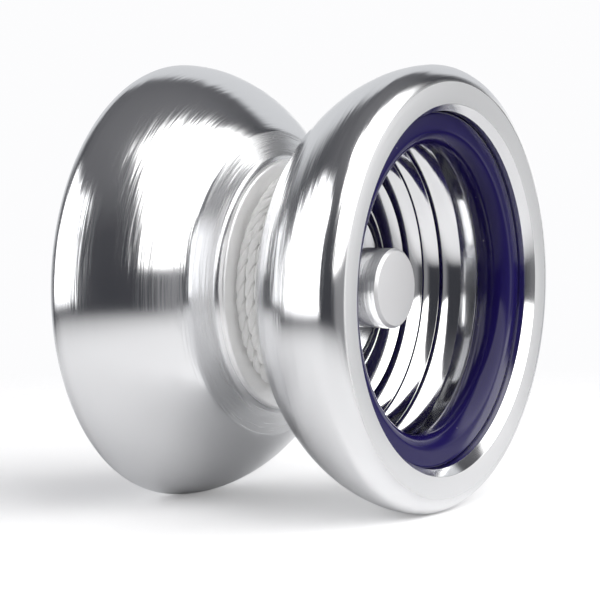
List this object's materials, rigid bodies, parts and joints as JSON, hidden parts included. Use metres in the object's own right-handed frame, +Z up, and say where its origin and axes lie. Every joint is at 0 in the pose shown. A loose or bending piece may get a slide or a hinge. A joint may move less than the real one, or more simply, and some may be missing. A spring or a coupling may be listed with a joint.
{
  "type": "yo yo",
  "caption": "Flared aluminium yo-yo in two halves on a threaded axle, with a ball bearing, response pads, blue cup rings and a wound string.",
  "frame": {"origin": "middle of the object, on the axle line and halfway between the halves", "axes": "+Y along the axle from the front half to the back half, +Z up, as it stands on both rims"},
  "size_m": [0.055, 0.0412, 0.055],
  "materials": {
    "aluminium": "polished, with fine turning marks",
    "blue_ring": "satin gloss, dark blue",
    "silicone": "matte",
    "axle_steel": "black oxide",
    "bearing_steel": "ground and polished",
    "cage_steel": "stamped",
    "string": "white twisted cord"
  },
  "bodies": {
    "spool_back": {"back_half": "aluminium", "back_ring": "blue_ring", "back_pad": "silicone", "axle": "axle_steel"},
    "bearing_inner": {"bearing_inner_race": "bearing_steel"},
    "spool_front": {"front_half": "aluminium", "front_ring": "blue_ring", "front_pad": "silicone"},
    "bearing_outer": {"bearing_outer_race": "bearing_steel", "front_shield": "bearing_steel", "back_shield": "bearing_steel", "front_snap_ring": "bearing_steel", "back_snap_ring": "bearing_steel", "string_bearing_loop": "string", "string_coil": "string", "string_tail": "string", "string_knot": "string", "string_finger_loop": "string"},
    "cage": {"bearing_balls": "bearing_steel", "cage_front": "cage_steel", "cage_back": "cage_steel"}
  },
  "joints": [
    {"name": "unscrew_travel", "type": "slide", "parent": "spool_back", "child": "bearing_inner", "axis": [0, -1, 0], "range_m": [0, 0.0099]},
    {"name": "unscrew", "type": "hinge", "parent": "bearing_inner", "child": "spool_front", "pos_m": [0, 0, 0], "axis": [0, -1, 0], "range_deg": [0, 5040]},
    {"name": "string_spin", "type": "hinge", "parent": "bearing_inner", "child": "bearing_outer", "pos_m": [0, 0, 0], "axis": [0, 1, 0], "continuous": true},
    {"name": "cage_spin", "type": "hinge", "parent": "bearing_inner", "child": "cage", "pos_m": [0, 0, 0], "axis": [0, 1, 0], "continuous": true}
  ],
  "couplings": [
    {"joint": "unscrew_travel", "follows": "unscrew", "m_per_rad": 0.00011141},
    {"joint": "cage_spin", "follows": "string_spin", "ratio": 0.604}
  ]
}
